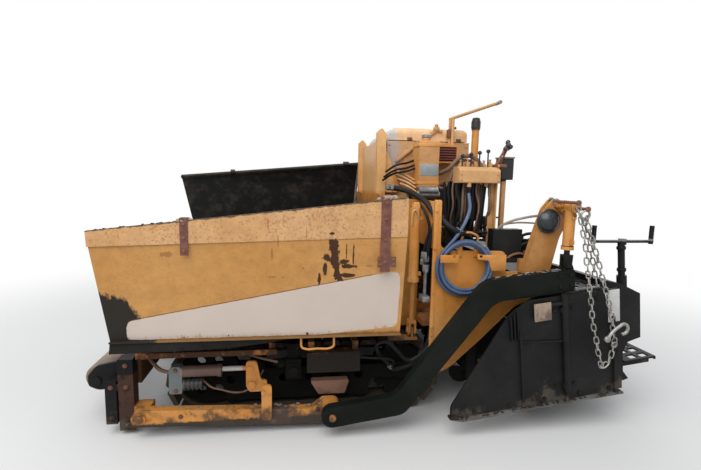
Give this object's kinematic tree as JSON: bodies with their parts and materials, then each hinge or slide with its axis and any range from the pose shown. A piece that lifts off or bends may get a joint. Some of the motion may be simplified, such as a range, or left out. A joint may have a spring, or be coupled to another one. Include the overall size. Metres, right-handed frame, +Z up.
{
  "type": "asphalt paver",
  "caption": "Small tracked asphalt paver with folding hopper wings, a slat conveyor, spreading augers and a towed screed on gooseneck arms.",
  "frame": {"origin": "centre of the bounding box's base, on the ground", "axes": "+X forward towards the hopper, +Y to the machine's left, +Z up"},
  "size_m": [3.9007, 2.638, 2.284],
  "materials": {
    "orange_paint": "sun-faded orange enamel with rust and dried asphalt",
    "pale_paint": "pale faded enamel, dusty",
    "black_paint": "black enamel under dry dust and asphalt film",
    "worn_steel": "asphalt-stained bare steel",
    "chrome_rod": "polished rod, lightly dusty",
    "track_steel": "dusty rubber-padded shoes",
    "black_hose": "matt hydraulic hose",
    "blue_hose": "matt blue-grey hose",
    "chain_steel": "zinc-plated chain",
    "engine_iron": "oily cast iron",
    "stack_steel": "orange enamel with a dark cap",
    "lamp_body": "black lamp housing"
  },
  "bodies": {
    "tractor": {"main_frame": "orange_paint", "hopper_floor": "worn_steel", "slat_conveyor": "worn_steel", "bulkhead": "orange_paint", "engine_block": "engine_iron", "engine_enclosure": "pale_paint", "hydraulic_tank": "orange_paint", "side_plates": "orange_paint", "operator_deck": "black_paint", "consoles": "pale_paint", "grab_rails": "orange_paint", "exhaust_stack": "stack_steel", "hydraulic_hoses": "black_hose", "wash_hose": "blue_hose", "hose_coil": "blue_hose", "track_frames": "black_paint", "track_belts": "track_steel", "track_wheels": "worn_steel", "push_bar": "orange_paint", "tow_levers": "orange_paint", "tow_linkage": "orange_paint", "auger_hangers": "black_paint", "lift_posts": "orange_paint", "safety_chains": "chain_steel", "work_lamps": "lamp_body"},
    "left_wing": {"wing_left": "orange_paint"},
    "right_wing": {"wing_right": "orange_paint"},
    "left_ram": {"wing_barrel_left": "orange_paint"},
    "left_ram_rod": {"wing_rod_left": "chrome_rod"},
    "right_ram": {"wing_barrel_right": "orange_paint"},
    "right_ram_rod": {"wing_rod_right": "chrome_rod"},
    "left_gate": {"flow_gate_left": "orange_paint"},
    "right_gate": {"flow_gate_right": "orange_paint"},
    "screed": {"tow_arms": "black_paint", "screed_body": "black_paint", "end_gates": "black_paint", "screed_steps": "black_paint", "crank_handles": "black_paint"},
    "lift_ram": {"lift_barrels": "orange_paint"},
    "lift_ram_rod": {"lift_rods": "chrome_rod"},
    "engine_hood": {"hood": "pale_paint"},
    "left_auger": {"auger_left": "worn_steel"},
    "right_auger": {"auger_right": "worn_steel"},
    "left_roller": {"roller_left": "worn_steel"},
    "right_roller": {"roller_right": "worn_steel"}
  },
  "joints": [
    {"name": "left_wing_fold", "type": "hinge", "parent": "tractor", "child": "left_wing", "pos_m": [0.8, 0.5, 0.6], "axis": [1, 0, 0], "range_deg": [0, 38]},
    {"name": "right_wing_fold", "type": "hinge", "parent": "tractor", "child": "right_wing", "pos_m": [0.8, -0.5, 0.6], "axis": [1, 0, 0], "range_deg": [-1, 37]},
    {"name": "left_ram_swing", "type": "hinge", "parent": "tractor", "child": "left_ram", "pos_m": [-0.225, 0.88, 1.47], "axis": [1, 0, 0], "range_deg": [-6, 0.2]},
    {"name": "left_ram_stroke", "type": "slide", "parent": "left_ram", "child": "left_ram_rod", "axis": [0, 0, 1], "range_m": [-0.002, 0.24]},
    {"name": "right_ram_swing", "type": "hinge", "parent": "tractor", "child": "right_ram", "pos_m": [-0.225, -0.88, 1.47], "axis": [1, 0, 0], "range_deg": [-8.2, 0.5]},
    {"name": "right_ram_stroke", "type": "slide", "parent": "right_ram", "child": "right_ram_rod", "axis": [0, 0.1184, -0.993], "range_m": [-0.01, 0.23]},
    {"name": "left_gate_lift", "type": "slide", "parent": "tractor", "child": "left_gate", "axis": [0, 0, 1], "range_m": [0, 0.25]},
    {"name": "right_gate_lift", "type": "slide", "parent": "tractor", "child": "right_gate", "axis": [0, 0, 1], "range_m": [0, 0.25]},
    {"name": "screed_lift", "type": "hinge", "parent": "tractor", "child": "screed", "pos_m": [0.355, 0, 0.15], "axis": [0, 1, 0], "range_deg": [-7, 0.5]},
    {"name": "lift_ram_swing", "type": "hinge", "parent": "tractor", "child": "lift_ram", "pos_m": [-1.187, 0, 1.49], "axis": [0, 1, 0], "range_deg": [-1, 12.3]},
    {"name": "lift_ram_stroke", "type": "slide", "parent": "lift_ram", "child": "lift_ram_rod", "axis": [0.0135, 0, -0.9999], "range_m": [-0.015, 0.205]},
    {"name": "hood_lift", "type": "hinge", "parent": "tractor", "child": "engine_hood", "pos_m": [-0.121, 0, 1.966], "axis": [0, 1, 0], "range_deg": [0, 60]},
    {"name": "left_auger_spin", "type": "hinge", "parent": "tractor", "child": "left_auger", "pos_m": [-0.64, 0.5, 0.33], "axis": [0, 1, 0], "continuous": true},
    {"name": "right_auger_spin", "type": "hinge", "parent": "tractor", "child": "right_auger", "pos_m": [-0.64, -0.5, 0.33], "axis": [0, 1, 0], "continuous": true},
    {"name": "left_roller_spin", "type": "hinge", "parent": "tractor", "child": "left_roller", "pos_m": [1.861, 0.47, 0.321], "axis": [0, 1, 0], "continuous": true},
    {"name": "right_roller_spin", "type": "hinge", "parent": "tractor", "child": "right_roller", "pos_m": [1.861, -0.47, 0.321], "axis": [0, 1, 0], "continuous": true}
  ],
  "couplings": [
    {"joint": "left_ram_swing", "follows": "left_wing_fold", "ratio": -0.15},
    {"joint": "left_ram_stroke", "follows": "left_wing_fold", "m_per_rad": 0.35},
    {"joint": "right_ram_swing", "follows": "right_wing_fold", "ratio": -0.215},
    {"joint": "right_ram_stroke", "follows": "right_wing_fold", "m_per_rad": 0.347},
    {"joint": "lift_ram_swing", "follows": "screed_lift", "ratio": -1.75},
    {"joint": "lift_ram_stroke", "follows": "screed_lift", "m_per_rad": -1.666}
  ]
}
